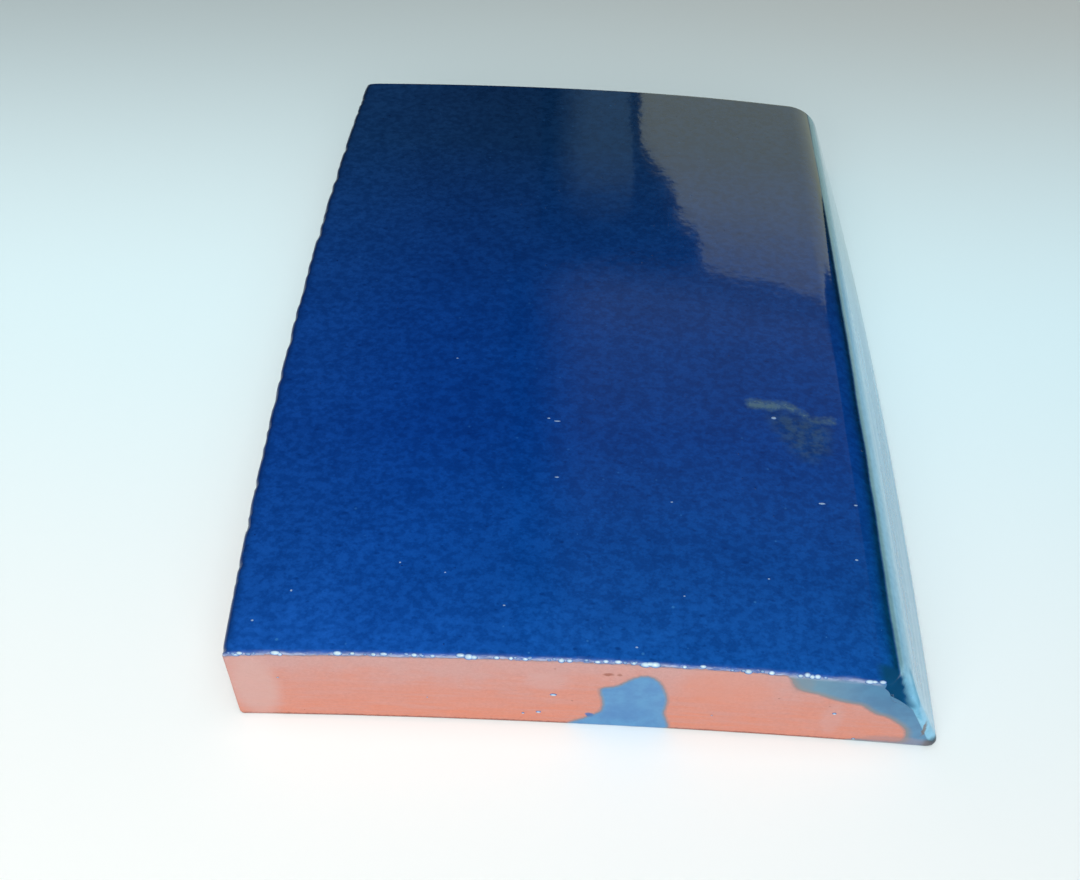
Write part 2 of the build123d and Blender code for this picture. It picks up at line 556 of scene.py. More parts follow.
droplets = {
    # X and size of each bright drop on the front arris
    "bright": [(-51.5, 0.62), (-50.9, 0.4), (-45.6, 0.52), (-44.9, 0.36), (-36.4, 0.55), (-34.2, 0.36),
               (-31.1, 0.42), (-29.6, 0.38), (-25.1, 0.42), (-22.4, 0.36), (-18.3, 0.5), (-17.1, 0.68),
               (-16.3, 0.5), (-13.0, 0.4), (-10.9, 0.42), (-8.8, 0.36), (-3.5, 0.58), (-2.3, 0.42),
               (1.8, 0.36), (3.0, 0.42), (4.8, 0.45), (7.1, 0.36), (8.8, 0.62), (9.5, 0.5), (10.2, 0.66),
               (14.5, 0.34), (17.2, 0.42), (23.8, 0.58), (27.2, 0.5), (31.4, 0.42), (32.4, 0.6), (33.1, 0.5),
               (33.9, 0.55), (41.5, 0.5), (42.2, 0.36), (43.4, 0.45)],
    "scatterCount": 34,
    "scatterSize": (0.16, 0.36),
    # X, Z and size of the pale specks on the front end
    "endFlecks": [(-4.5, 8.7, 0.46), (-6.7, 3.4, 0.38), (-9.1, 2.9, 0.28), (38.1, 7.9, 0.36),
                  (42.3, 0.9, 0.3), (-46.1, 11.2, 0.18), (19.9, 5.1, 0.16), (-23.8, 6.6, 0.15)],
    # X, Y, size and length of the pale specks on the face
    "faceFlecks": [(37.8, -42.9, 0.26, 2.6), (43.4, -42.7, 0.22, 1.4), (-50.2, 15.2, 0.32, 1.3),
                   (-24.4, -13.2, 0.2, 1.6), (-5.9, -27.8, 0.2, 3.0), (-7.4, -27.2, 0.2, 1.5),
                   (-45.2, -38.8, 0.22, 2.8), (-48.3, -42.8, 0.2, 0.8), (-45.2, -64.8, 0.34, 0.7),
                   (-29.2, -58.9, 0.26, 0.8), (-50.1, -70.4, 0.26, 0.8), (31.4, -24.4, 0.42, 1.0),
                   (13.3, -44.6, 0.18, 1.4), (-5.5, -40.4, 0.2, 1.8), (7.5, -72.6, 0.2, 1.2),
                   (42.2, -53.9, 0.24, 1.2), (-22.0, -60.5, 0.16, 1.2), (-12.5, -66.2, 0.18, 1.0),
                   (14.8, -63.0, 0.16, 1.3), (28.0, -58.8, 0.16, 1.4)],
    "faceFleckScale": 1.2,
    "lean": 38.0,  # degrees that the arris drops lean forward
    "height": 0.30,  # share of a drop's size
    "sunk": 0.6,  # share of its height that a drop lies below the skin
    "slenderness": 0.7,
    "seed": 7,
}


def dropletPoints():
    rng = np.random.default_rng(droplets["seed"])
    angle = radians(droplets["lean"])
    lean = (0.0, -sin(angle), cos(angle))
    arris = slab["endArris"]
    placed = []

    def lay(place, size, facing, bright, long=1.0):
        sunk = droplets["sunk"] * droplets["height"] * size
        placed.append((tuple(np.array(place) - sunk * np.array(facing)), size, facing, bright, long))

    scatteredX = rng.uniform(-53, 43, droplets["scatterCount"])
    scattered = [(x, rng.uniform(*droplets["scatterSize"])) for x in scatteredX]
    for bright, row in ((1.0, droplets["bright"]), (0.3, scattered)):
        for x, size in row:
            turn = angle + rng.uniform(-0.1, 0.35)
            top = size * hypot(droplets["slenderness"] * sin(angle), droplets["height"] * cos(angle))
            z = min(faceHeight(x) - arris * (1 - cos(turn)), thickness - 0.75 * top)
            y = max(frontLine(x) + arris * (1 - sin(turn)), frontY + 1.1 * top)
            lay((x, y, z), size, lean, bright * rng.uniform(0.7, 1.0), rng.uniform(0.9, 1.5))
    for x, z, size in droplets["endFlecks"]:
        lay((x, frontLine(x), z), size, (0.0, -1.0, 0.0), 0.85)
    for x, y, size, long in droplets["faceFlecks"]:
        size *= droplets["faceFleckScale"]
        lay((x, y, faceHeight(x) - 0.02), size, (0.0, 0.0, 1.0), 0.35, long)
    return placed


drops = dropletPoints()
masks = surfaceMasks(points, zones)
dropPlaces, dropSizes, dropFacings, dropPaleAndHighlights, dropLengths = zip(*drops)
ofDrops = {"glazeReach": glazing["mostReach"], "glazeBody": 1.0,
           "dropSize": dropSizes, "dropPaleAndHighlight": dropPaleAndHighlights, "dropLength": dropLengths}
for name in {**masks, **ofDrops}:
    onSkin, onDrops = masks.get(name, np.zeros(len(points))), np.zeros(len(drops)) + ofDrops.get(name, 0.0)
    masks[name] = np.r_[onSkin, onDrops]
facing = np.vstack([np.zeros((len(points), 3)), dropFacings])

mesh = bpy.data.meshes.new("glazedTrim")
allPoints = np.vstack([points, dropPlaces])
mesh.from_pydata([tuple(place) for place in allPoints * mm], [], faces)
mesh.polygons.foreach_set("use_smooth", [True] * len(mesh.polygons))
for name, values in masks.items():
    mesh.attributes.new(name, "FLOAT", "POINT").data.foreach_set("value", values.astype(np.float32))
facings = mesh.attributes.new("dropFacing", "FLOAT_VECTOR", "POINT")
facings.data.foreach_set("vector", facing.astype(np.float32).ravel())
trim = bpy.data.objects.new("glazedTrim", mesh)
bpy.context.collection.objects.link(trim)


# Groups, for geometry and for shaders

def newGroup(kind, name, inputs, outputs):
    group = bpy.data.node_groups.new(name, kind)
    for label, socketKind, value in inputs:
        socket = group.interface.new_socket(label, in_out="INPUT", socket_type=socketKind)
        if value is not None:
            socket.default_value = value
    for label, socketKind in outputs:
        group.interface.new_socket(label, in_out="OUTPUT", socket_type=socketKind)
    return group, group.nodes.new("NodeGroupInput").outputs, group.nodes.new("NodeGroupOutput").inputs


def readAttribute(tree, name, kind="FLOAT"):
    made = put(tree, "GeometryNodeInputNamedAttribute", {"Name": name}, data_type=kind)
    return next(socket for socket in made.outputs if socket.enabled and socket.name == "Attribute")


def scaled(tree, vector, factor):
    return put(tree, "ShaderNodeVectorMath", {0: vector, "Scale": factor}, operation="SCALE").outputs[0]


surface = {  # millimetres
    "Clay Relief": 0.16,
    "Clay Relief Size": 5.0,
    "Glaze Swell": 0.045,
    "Glaze Swell Size": 15.0,
    "Nick Depth": 1.0,
    "Drop Scale": 1.0,
    "Drop Height": droplets["height"],
    "Drop Slenderness": droplets["slenderness"],
}


def firedSurfaceTree():  # sinks the skin into its relief and nicks, and lays the drops on it
    inputs = [("Geometry", "NodeSocketGeometry", None)]
    inputs += [(name, "NodeSocketFloat", value) for name, value in surface.items()]
    inputs += [("Seed", "NodeSocketInt", 1), ("Finish", "NodeSocketMaterial", None)]
    outputs = [("Geometry", "NodeSocketGeometry")]
    tree, given, out = newGroup("GeometryNodeTree", "firedSurface", inputs, outputs)
    dropSize = readAttribute(tree, "dropSize")
    isDrop = put(tree, "FunctionNodeCompare", {"A": dropSize, "B": 0.0}, operation="GREATER_THAN").outputs[0]
    everything = {"Geometry": given["Geometry"], "Selection": isDrop}
    parted = put(tree, "GeometryNodeSeparateGeometry", everything).outputs
    position = put(tree, "GeometryNodeInputPosition").outputs[0]
    place = scaled(tree, position, 1 / mm)

    def relief(name, detail):
        size = maths(tree, "DIVIDE", 1.0, given[name + " Size"])
        return times(tree, noiseField(tree, place, size, detail), given[name])

    glazed = remap(tree, readAttribute(tree, "glazeReach"), -0.2, 0.6)
    depth = between(tree, glazed, relief("Clay Relief", 3.0), relief("Glaze Swell", 1.0))
    nick = times(tree, readAttribute(tree, "nick"), given["Nick Depth"])
    depth = times(tree, maths(tree, "ADD", depth, nick), readAttribute(tree, "freeToMove"))
    sink = scaled(tree, put(tree, "GeometryNodeInputNormal").outputs[0], times(tree, depth, -mm))
    skin = put(tree, "GeometryNodeSetPosition", {"Geometry": parted["Inverted"], "Offset": sink}).outputs[0]

    bead = put(tree, "GeometryNodeMeshIcoSphere", {"Radius": 1.0, "Subdivisions": 3}).outputs["Mesh"]
    height = separated(tree, position)["Z"]
    onDrop = {"Geometry": bead, "Name": "onDrop", "Value": height}
    marked = put(tree, "GeometryNodeStoreNamedAttribute", onDrop, data_type="FLOAT", domain="POINT")
    uneven = {2: 0.8, 3: 1.2, "Seed": given["Seed"]}
    uneven = put(tree, "FunctionNodeRandomValue", uneven, data_type="FLOAT").outputs[1]
    size = times(tree, dropSize, given["Drop Scale"], mm)
    extent = put(tree, "ShaderNodeCombineXYZ", {
        "X": times(tree, size, uneven, readAttribute(tree, "dropLength")),
        "Y": times(tree, size, given["Drop Slenderness"]),
        "Z": times(tree, size, given["Drop Height"]),
    }).outputs[0]
    outwards = {"Vector": readAttribute(tree, "dropFacing", "FLOAT_VECTOR")}
    turn = put(tree, "FunctionNodeAlignRotationToVector", outwards, axis="Z", pivot_axis="X").outputs[0]
    laid = put(tree, "GeometryNodeInstanceOnPoints", {
        "Points": parted["Selection"],
        "Instance": marked.outputs[0],
        "Rotation": turn,
        "Scale": extent,
    }).outputs[0]
    solid = put(tree, "GeometryNodeRealizeInstances", {"Geometry": laid}).outputs[0]
    smooth = put(tree, "GeometryNodeSetShadeSmooth", {"Geometry": solid}).outputs[0]
    joined = put(tree, "GeometryNodeJoinGeometry")
    for part in (smooth, skin):
        tree.links.new(part, joined.inputs[0])
    finished = {"Geometry": joined.outputs[0], "Material": given["Finish"]}
    tree.links.new(put(tree, "GeometryNodeSetMaterial", finished).outputs[0], out["Geometry"])
    return tree


def applyTree(piece, tree, values):  # the tree's result becomes the piece's plain mesh
    modifier = piece.modifiers.new(tree.name, "NODES")
    modifier.node_group = tree
    for socket in tree.interface.items_tree:
        if socket.in_out == "INPUT" and socket.name in values:
            modifier[socket.identifier] = values[socket.name]
    depsgraph = bpy.context.evaluated_depsgraph_get()
    evaluated = piece.evaluated_get(depsgraph)
    result = bpy.data.meshes.new_from_object(evaluated, preserve_all_data_layers=True, depsgraph=depsgraph)
    piece.modifiers.clear()
    piece.data = result


def maskGroup(name, values):  # a shader group that puts out a mask over the surface
    inputs = [("Vector", "NodeSocketVector", None)]
    inputs += [(label, "NodeSocketFloat", value) for label, value in values.items()]
    return newGroup("ShaderNodeTree", name, inputs, [("Mask", "NodeSocketFloat")])


def mottleGroup():  # soft blotches with finer ones inside them
    group, given, out = maskGroup("mottle", {"Size": 2.0, "Contrast": 0.2})
    blotch = put(group, "ShaderNodeTexNoise", {
        "Vector": given["Vector"], "Scale": maths(group, "DIVIDE", 1.0, given["Size"]),
        "Detail": 3.0, "Roughness": 0.62}).outputs["Fac"]
    lowest = maths(group, "SUBTRACT", 0.5, given["Contrast"])
    highest = maths(group, "ADD", 0.5, given["Contrast"])
    group.links.new(remap(group, blotch, lowest, highest), out["Mask"])
    return group


def speckGroup():  # scattered round specks of uneven size
    group, given, out = maskGroup("specks", {"Spacing": 2.0, "Radius": 0.2, "Share": 0.3})
    scale = maths(group, "DIVIDE", 1.0, given["Spacing"])
    cells = put(group, "ShaderNodeTexVoronoi", {"Vector": given["Vector"], "Scale": scale}).outputs
    chance = put(group, "ShaderNodeSeparateColor", {"Color": cells["Color"]}).outputs
    distance = times(group, cells["Distance"], given["Spacing"])
    radius = times(group, given["Radius"], maths(group, "ADD", chance["Green"], 0.35))
    inside = remap(group, distance, radius, times(group, radius, 0.4))
    chosen = maths(group, "LESS_THAN", chance["Red"], given["Share"])
    group.links.new(times(group, inside, chosen), out["Mask"])
    return group


def newMaterial(name):
    material = bpy.data.materials.new(name)
    material.use_nodes = True
    tree = material.node_tree
    return material, tree, tree.nodes["Principled BSDF"]


def stretched(tree, place, amounts):
    return put(tree, "ShaderNodeMapping", {"Vector": place, "Scale": amounts}).outputs["Vector"]


def millimetres(tree):  # the piece's own coordinates in millimetres
    return stretched(tree, put(tree, "ShaderNodeTexCoord").outputs["Object"], (1 / mm,) * 3)


def attribute(tree, name):
    return put(tree, "ShaderNodeAttribute", attribute_name=name).outputs["Fac"]


def oval(tree, parts, centre, radii, softness=0.4):  # a soft oval at this X and Z
    across = maths(tree, "DIVIDE", maths(tree, "SUBTRACT", parts["X"], centre[0]), radii[0])
    up = maths(tree, "DIVIDE", maths(tree, "SUBTRACT", parts["Z"], centre[1]), radii[1])
    away = maths(tree, "SQRT", scaleAdd(tree, across, across, times(tree, up, up)))
    return remap(tree, away, 1.0 + softness, 1.0 - softness)


# Glaze and clay

finish = {
    "edgeCobalt": rgba(0.022, 0.13, 0.40),
    # the nose's painted reflection, with its painted shade and painted light
    "noseReflectionBlue": rgba(0.10, 0.32, 0.49),
    "noseReflectionPale": rgba(0.21, 0.46, 0.62),
    "noseBackShade": rgba(0.15, 0.31, 0.31),
    "noseFrontLight": rgba(0.22, 0.52, 0.72),
    "noseEdgeShade": rgba(0.19, 0.34, 0.36),
    "deepCornerShade": rgba(0.003, 0.056, 0.145),
    "paleFleck": rgba(0.035, 0.20, 0.52),
    "arrisLine": rgba(0.36, 0.42, 0.62),
    "arrisFaint": rgba(0.16, 0.22, 0.42),
    # pale glaze and a painted highlight on the drops' tops
    "drop": rgba(0.66, 0.86, 0.95),
    "dropRim": rgba(0.20, 0.38, 0.80),
    "smear": rgba(0.075, 0.265, 0.505),
    "smearDeep": rgba(0.032, 0.15, 0.40),
    "wash": rgba(0.068, 0.222, 0.390),
    "washDeep": rgba(0.050, 0.165, 0.32),
    "washPale": rgba(0.118, 0.255, 0.330),
    "washEdge": rgba(0.20, 0.20, 0.205),
    "rub": rgba(0.085, 0.17, 0.18),
    "clay": rgba(0.645, 0.262, 0.195),
    "dustyClay": rgba(0.58, 0.325, 0.30),
    "warmClay": rgba(0.69, 0.245, 0.155),
    "paleDust": rgba(0.60, 0.365, 0.335),
    "paleClay": rgba(0.74, 0.48, 0.42),
    "ironClay": rgba(0.30, 0.09, 0.055),
    "edgeDirtAndShade": rgba(0.30, 0.22, 0.24),
    "darkTip": rgba(0.015, 0.035, 0.055),
    "chip": rgba(0.13, 0.10, 0.09),
    # Tints that multiply what lies under them
    "middleShadeTint": rgba(0.90, 0.98, 0.88),
    "mottleTint": rgba(0.35, 0.55, 0.64),
    "pinholeTint": rgba(0.25, 0.3, 0.4),
    "creaseTint": rgba(0.6, 0.55, 0.38),
    "creaseSideTint": rgba(0.15, 0.95, 0.72),
    "darkArrisDeepAndShadeTint": rgba(0.25, 0.40, 0.38),
    "hairTint": rgba(0.55, 0.65, 0.7),
    "rubPatchTint": rgba(1.0, 0.8, 0.5),
    "grainTint": rgba(0.84, 0.78, 0.78),
    "pitTint": rgba(0.55, 0.42, 0.38),
    "footShadowTint": rgba(0.36, 0.30, 0.30),
    "glazeRoughness": 0.055,
    "thinGlazeRoughness": 0.38,
    "arrisRoughness": 0.35,
    "rubRoughness": 0.6,
    "clayRoughness": 0.86,
    "glazeIor": 1.52,
}

# Y along the face and the cobalt's colour there, darker towards the back: partly glaze pooled thicker there,
# partly painted shade where the light falls off
cobaltAndShadeAlong = [
    (-76.0, rgba(0.0100, 0.113, 0.520)),
    (-60.0, rgba(0.0055, 0.080, 0.400)),
    (-31.0, rgba(0.0030, 0.053, 0.315)),
    (-4.0, rgba(0.0034, 0.050, 0.280)),
    (54.0, rgba(0.0056, 0.034, 0.117)),
    (76.0, rgba(0.0060, 0.031, 0.100)),
]

mottle, specks = mottleGroup(), speckGroup()
patterns = {  # group, how the coordinates are stretched, and its sizes in millimetres
    "streak": (mottle, (1.0, 0.03, 1.0), {"Size": 3.4, "Contrast": 0.15}),
    "hair": (mottle, (1.0, 0.05, 1.0), {"Size": 1.7, "Contrast": 0.16}),
    "fleck": (mottle, (0.8, 1.0, 1.0), {"Size": 1.2, "Contrast": 0.12}),
    "fine": (mottle, None, {"Size": 0.45, "Contrast": 0.24}),
    "cloud": (mottle, None, {"Size": 14.0, "Contrast": 0.22}),
    "patches": (mottle, None, {"Size": 4.6, "Contrast": 0.17}),
    "fleece": (specks, (0.55, 1.0, 1.0), {"Spacing": 1.3, "Radius": 0.30, "Share": 0.4}),
    "pinholes": (specks, None, {"Spacing": 2.7, "Radius": 0.17, "Share": 0.45}),
    "bubbles": (specks, None, {"Spacing": 2.1, "Radius": 0.26, "Share": 0.22}),
    "blot": (mottle, None, {"Size": 2.6, "Contrast": 0.16}),
    "broken": (mottle, (0.35, 1.3, 1.3), {"Size": 0.9, "Contrast": 0.13}),
    "rubSpecks": (mottle, (0.8, 1.0, 1.0), {"Size": 1.6, "Contrast": 0.14}),
    "blotch": (mottle, None, {"Size": 6.0, "Contrast": 0.25}),
    "grain": (mottle, None, {"Size": 0.5, "Contrast": 0.3}),
    "drag": (mottle, (0.10, 0.10, 1.0), {"Size": 0.8, "Contrast": 0.22}),
    "grog": (specks, None, {"Spacing": 1.9, "Radius": 0.17, "Share": 0.30}),
    "pits": (specks, (0.7, 1.0, 1.0), {"Spacing": 1.7, "Radius": 0.17, "Share": 0.35}),
}
mottling = {"fleck": 0.62, "fleece": 0.6, "fine": 0.4, "patches": 0.26, "cloud": 0.28}  # strengths

heights = {  # bump in millimetres
    "ripple": 0.012,
    "peel": 0.003,
    "noseRipple": 0.02,
    "brokenArris": 0.16,
    "pinhole": -0.03,
    "rubSpeck": 0.03,
    "grain": 0.07,
    "drag": 0.05,
    "pit": -0.14,
    "glaze": 0.09,
    "thinGlaze": -0.05,
}

# Marks on the front end: centre X and Z, half sizes, strength and colour
endMarks = [
    (3.5, 15.2, 0.75, 0.30, 0.75, "ironClay"),
    (5.2, 15.1, 0.45, 0.22, 0.6, "ironClay"),
    (-50.0, 8.5, 3.6, 8.5, 0.8, "paleDust"),
    (21.0, 13.0, 7.0, 5.0, 0.4, "warmClay"),
    (-5.5, 12.5, 3.2, 2.4, 0.55, "dustyClay"),
    (38.0, 6.5, 1.6, 4.2, 0.45, "dustyClay"),
    (1.2, 3.2, 0.55, 0.6, 0.9, "smearDeep"),
    (6.8, 4.5, 3.4, 2.4, 0.35, "smearDeep"),
    (52.1, 5.2, 0.28, 1.7, 0.85, "chip"),
    (54.4, 1.0, 1.7, 1.6, 1.0, "darkTip"),
    (32.2, 15.4, 1.6, 2.2, 0.35, "washEdge"),
    # a dark band low on the front end by the nose's foot
    (48.8, 1.2, 5.0, 1.3, 0.5, "edgeDirtAndShade"),
]


def trimMaterial():
    material, tree, shader = newMaterial("cobaltGlazeOnTerracotta")
    place = millimetres(tree)
    parts = separated(tree, place)
    names = ("glazeReach", "glazeBody", "frontArris", "darkArris", "noseReflectionShare", "crease", "cornerShade",
             "rubReach", "rubPatch", "onDrop", "dropPaleAndHighlight")
    given = {name: attribute(tree, name) for name in names}
    marks = {}
    for name, (group, stretch, sizes) in patterns.items():
        inputs = {"Vector": stretched(tree, place, stretch) if stretch else place, **sizes}
        marks[name] = put(tree, "ShaderNodeGroup", inputs, node_tree=group).outputs["Mask"]

    def layer(colour, share, name, how="MIX"):  # a named colour or tint laid over a share of the colour
        return blendColours(tree, share, colour, finish[name], how)

    stray = maths(tree, "SUBTRACT", noiseField(tree, place, 1.3, 3.0), 0.5)
    thin = remap(tree, given["glazeBody"], 0.75, 0.40)
    edge = scaleAdd(tree, stray, remap(tree, thin, 0.0, 1.0, 0.9, 0.4), given["glazeReach"])
    glazed = remap(tree, edge, -0.07, 0.07)
    bare = maths(tree, "SUBTRACT", 1.0, glazed)
    frontOnly = remap(tree, parts["Y"], frontY + 1.5, frontY + 1.2)

    # Cobalt, darker towards the back as pooled glaze and painted shade, with painted shade across the middle
    # and at the crease
    colour = cobaltAndShadeAlong[0][1]
    for (nearY, _), (farY, tint) in zip(cobaltAndShadeAlong, cobaltAndShadeAlong[1:]):
        run = {"Value": parts["Y"], "From Min": nearY, "From Max": farY}
        colour = blendColours(tree, put(tree, "ShaderNodeMapRange", run).outputs["Result"], colour, tint)
    nearCutEdge = remap(tree, parts["X"], -24.0, -52.0, 0.0, 0.12)
    colour = layer(colour, nearCutEdge, "edgeCobalt")
    # painted shade: the face darker from the cut edge's side towards the middle and the nose
    colour = layer(colour, remap(tree, parts["X"], -45.0, 15.0), "middleShadeTint", "MULTIPLY")
    # painted shade: a dark band along the crease where the face bends onto the nose, with a wider teal side
    creaseSideShade = times(tree, maths(tree, "POWER", given["crease"], 0.3), 0.9)
    colour = layer(colour, creaseSideShade, "creaseSideTint", "MULTIPLY")
    colour = layer(colour, times(tree, given["crease"], 0.95), "creaseTint", "MULTIPLY")

    # The nose painted pale as a painted reflection of the paper it faces, streaked along it, with painted
    # shade towards the back, along its upper edge and at its toe, and painted light at the front end
    nose = blendColours(tree, marks["streak"], finish["noseReflectionBlue"], finish["noseReflectionPale"])
    nose = layer(nose, times(tree, marks["hair"], 0.14), "hairTint", "MULTIPLY")
    for measure, start, end, strength, tint in (
        (given["noseReflectionShare"], 0.75, 0.25, 0.8, "noseEdgeShade"),
        (parts["Y"], 5.0, 45.0, 0.8, "noseBackShade"),
        (parts["Y"], frontY + 6.0, frontY + 1.0, 0.85, "noseFrontLight"),
        (parts["Z"], 2.3, 1.0, 0.7, "noseEdgeShade"),
    ):
        nose = layer(nose, remap(tree, measure, start, end, 0.0, strength), tint)
    colour = blendColours(tree, remap(tree, given["noseReflectionShare"], 0.0, 0.22), colour, nose)

    # Mottling, quieter on the nose, with pinholes and pale bubbles
    quiet = remap(tree, given["noseReflectionShare"], 0.0, 0.25, 1.0, 0.3)
    for name, strength in mottling.items():
        share = times(tree, marks[name], times(tree, quiet, strength))
        colour = layer(colour, share, "mottleTint", "MULTIPLY")
    share = times(tree, marks["pinholes"], times(tree, quiet, 0.7))
    colour = layer(colour, share, "pinholeTint", "MULTIPLY")
    nearFront = remap(tree, parts["Y"], -20.0, frontY, 0.12, 0.55)
    colour = layer(colour, times(tree, marks["bubbles"], nearFront), "paleFleck")
    # the cut edge's and the back's arrises darker, partly deeper glaze and partly painted shade
    colour = layer(colour, times(tree, given["darkArris"], 0.9), "darkArrisDeepAndShadeTint", "MULTIPLY")
    # painted shade: the nose's front corner painted deep blue
    colour = layer(colour, given["cornerShade"], "deepCornerShade")

    # Thin glaze smeared and washed over the front end
    smear = blendColours(tree, times(tree, marks["blot"], 0.5), finish["smear"], finish["smearDeep"])
    wash = blendColours(tree, times(tree, marks["blot"], 0.7), finish["wash"], finish["washDeep"])
    wash = layer(wash, remap(tree, parts["X"], 43.0, 33.0, 0.0, 0.6), "washPale")
    wash = layer(wash, remap(tree, edge, 1.3, 0.1, 0.0, 0.75), "washEdge")
    colour = blendColours(tree, thin, colour, smear)
    colour = blendColours(tree, remap(tree, given["glazeBody"], 0.30, 0.18), colour, wash)
    rim = times(tree, remap(tree, edge, 0.6, 0.0), thin, 0.75)
    colour = layer(colour, rim, "washEdge")

    # The front arris, where the glaze breaks pale, and the drops along it, pale glaze whiter towards their
    # tops as a painted highlight
    line = blendColours(tree, marks["broken"], finish["arrisFaint"], finish["arrisLine"])
    fullness = remap(tree, parts["X"], 30.0, -25.0, 0.55, 0.95)
    pale = times(tree, given["frontArris"], scaleAdd(tree, marks["broken"], 0.4, fullness))
    colour = blendColours(tree, maths(tree, "MINIMUM", pale, 1.0), colour, line)
    rimBright = maths(tree, "SQRT", given["dropPaleAndHighlight"])
    dropRim = times(tree, remap(tree, given["onDrop"], 0.2, 0.7), rimBright, 0.85)
    colour = layer(colour, dropRim, "dropRim")
    # partly pale glaze, partly painted highlight: each drop whiter towards its top
    dropTopPaleAndHighlight = times(tree, remap(tree, given["onDrop"], 0.5, 1.0), given["dropPaleAndHighlight"])
    colour = layer(colour, dropTopPaleAndHighlight, "drop")

    # Dull rub on the face
    rubEdge = scaleAdd(tree, stray, 1.2, given["rubReach"])
    rubLine = times(tree, remap(tree, rubEdge, -0.6, 1.0), scaleAdd(tree, marks["fine"], 0.2, 0.5))
    inPatch = remap(tree, given["rubPatch"], -1.2, 2.8)
    colour = layer(colour, times(tree, inPatch, 0.45), "rubPatchTint", "MULTIPLY")
    rub = maths(tree, "MAXIMUM", rubLine, times(tree, inPatch, marks["rubSpecks"], 0.2))
    colour = layer(colour, rub, "rub")

    # Terracotta: dusty under the glaze, warmer below, dragged, pitted and flecked, with painted shadow along
    # its foot and under the glaze's edge
    height = scaleAdd(tree, maths(tree, "SUBTRACT", marks["blotch"], 0.5), 5.0, parts["Z"])
    clay = blendColours(tree, remap(tree, height, 8.0, 17.5), finish["clay"], finish["dustyClay"])
    clay = layer(clay, remap(tree, height, 8.5, 1.0, 0.0, 0.8), "warmClay")
    clay = layer(clay, times(tree, marks["drag"], 0.45), "dustyClay")
    clay = layer(clay, times(tree, marks["grain"], 0.50), "grainTint", "MULTIPLY")
    clay = layer(clay, times(tree, marks["grog"], 0.45), "paleClay")
    clay = layer(clay, times(tree, marks["pits"], 0.6), "pitTint", "MULTIPLY")
    # painted shadow: a dark line along the foot where the tile meets the paper
    footShadow = remap(tree, scaleAdd(tree, stray, 0.7, parts["Z"]), 0.95, 0.35)
    clay = layer(clay, times(tree, footShadow, 0.85), "footShadowTint", "MULTIPLY")
    # painted shadow: a dark line on the clay just under the glaze's edge
    clay = layer(clay, times(tree, remap(tree, edge, -0.55, -0.02), 0.7), "edgeDirtAndShade")
    colour = blendColours(tree, glazed, clay, colour)

    # Single marks with uneven outlines
    uneven = {0: noiseField(tree, place, 0.9, 2.0, "Color"), 1: (0.9, 0.9, 0.9), 2: place}
    uneven = put(tree, "ShaderNodeVectorMath", uneven, operation="MULTIPLY_ADD").outputs[0]
    unevenParts = separated(tree, uneven)
    for x, z, wide, tall, strength, tint in endMarks:
        here = times(tree, oval(tree, unevenParts, (x + 0.45, z + 0.45), (wide, tall)), frontOnly, strength)
        if tint in ("dustyClay", "paleDust", "warmClay"):
            here = times(tree, here, bare)
        colour = layer(colour, here, tint)
    feed(tree, colour, shader.inputs["Base Color"])

    glazeRough = remap(tree, rub, 0.0, 1.0, finish["glazeRoughness"], finish["rubRoughness"])
    worn = maths(tree, "MAXIMUM", given["darkArris"], given["frontArris"])
    glazeRough = maths(tree, "MAXIMUM", glazeRough, times(tree, worn, finish["arrisRoughness"]))
    glazeRough = between(tree, thin, glazeRough, finish["thinGlazeRoughness"])
    feed(tree, between(tree, glazed, finish["clayRoughness"], glazeRough), shader.inputs["Roughness"])

    lengthwise = noiseField(tree, stretched(tree, place, (1.0, 0.05, 1.0)), 0.35, 1.0)
    ripple = times(tree, noiseField(tree, place, 0.28, 2.0), heights["ripple"])
    glazeHeight = scaleAdd(tree, noiseField(tree, place, 0.9, 1.0), heights["peel"], ripple)
    glazeHeight = times(tree, glazeHeight, remap(tree, given["noseReflectionShare"], 0.0, 0.2, 1.0, 0.15))
    for share, name in (
        (times(tree, lengthwise, given["noseReflectionShare"]), "noseRipple"),
        (times(tree, marks["broken"], given["frontArris"]), "brokenArris"),
        (marks["pinholes"], "pinhole"),
        (times(tree, marks["rubSpecks"], rub), "rubSpeck"),
    ):
        glazeHeight = scaleAdd(tree, share, heights[name], glazeHeight)
    clayHeight = scaleAdd(tree, marks["drag"], heights["drag"], times(tree, marks["grain"], heights["grain"]))
    clayHeight = scaleAdd(tree, marks["pits"], heights["pit"], clayHeight)
    relief = between(tree, glazed, clayHeight, glazeHeight)
    relief = scaleAdd(tree, glazed, scaleAdd(tree, thin, heights["thinGlaze"], heights["glaze"]), relief)
    bump = put(tree, "ShaderNodeBump", {"Height": relief, "Distance": mm})
    feed(tree, bump.outputs["Normal"], shader.inputs["Normal"])
    shader.inputs["IOR"].default_value = finish["glazeIor"]
    return material


applyTree(trim, firedSurfaceTree(), {**surface, "Seed": 3, "Finish": trimMaterial()})
print("trim:", len(trim.data.polygons), "faces with", len(drops), "glaze drops")
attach(trim, "root")
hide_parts("tile")


# White paper under the tile, with painted light and shade on it, and a pale backdrop

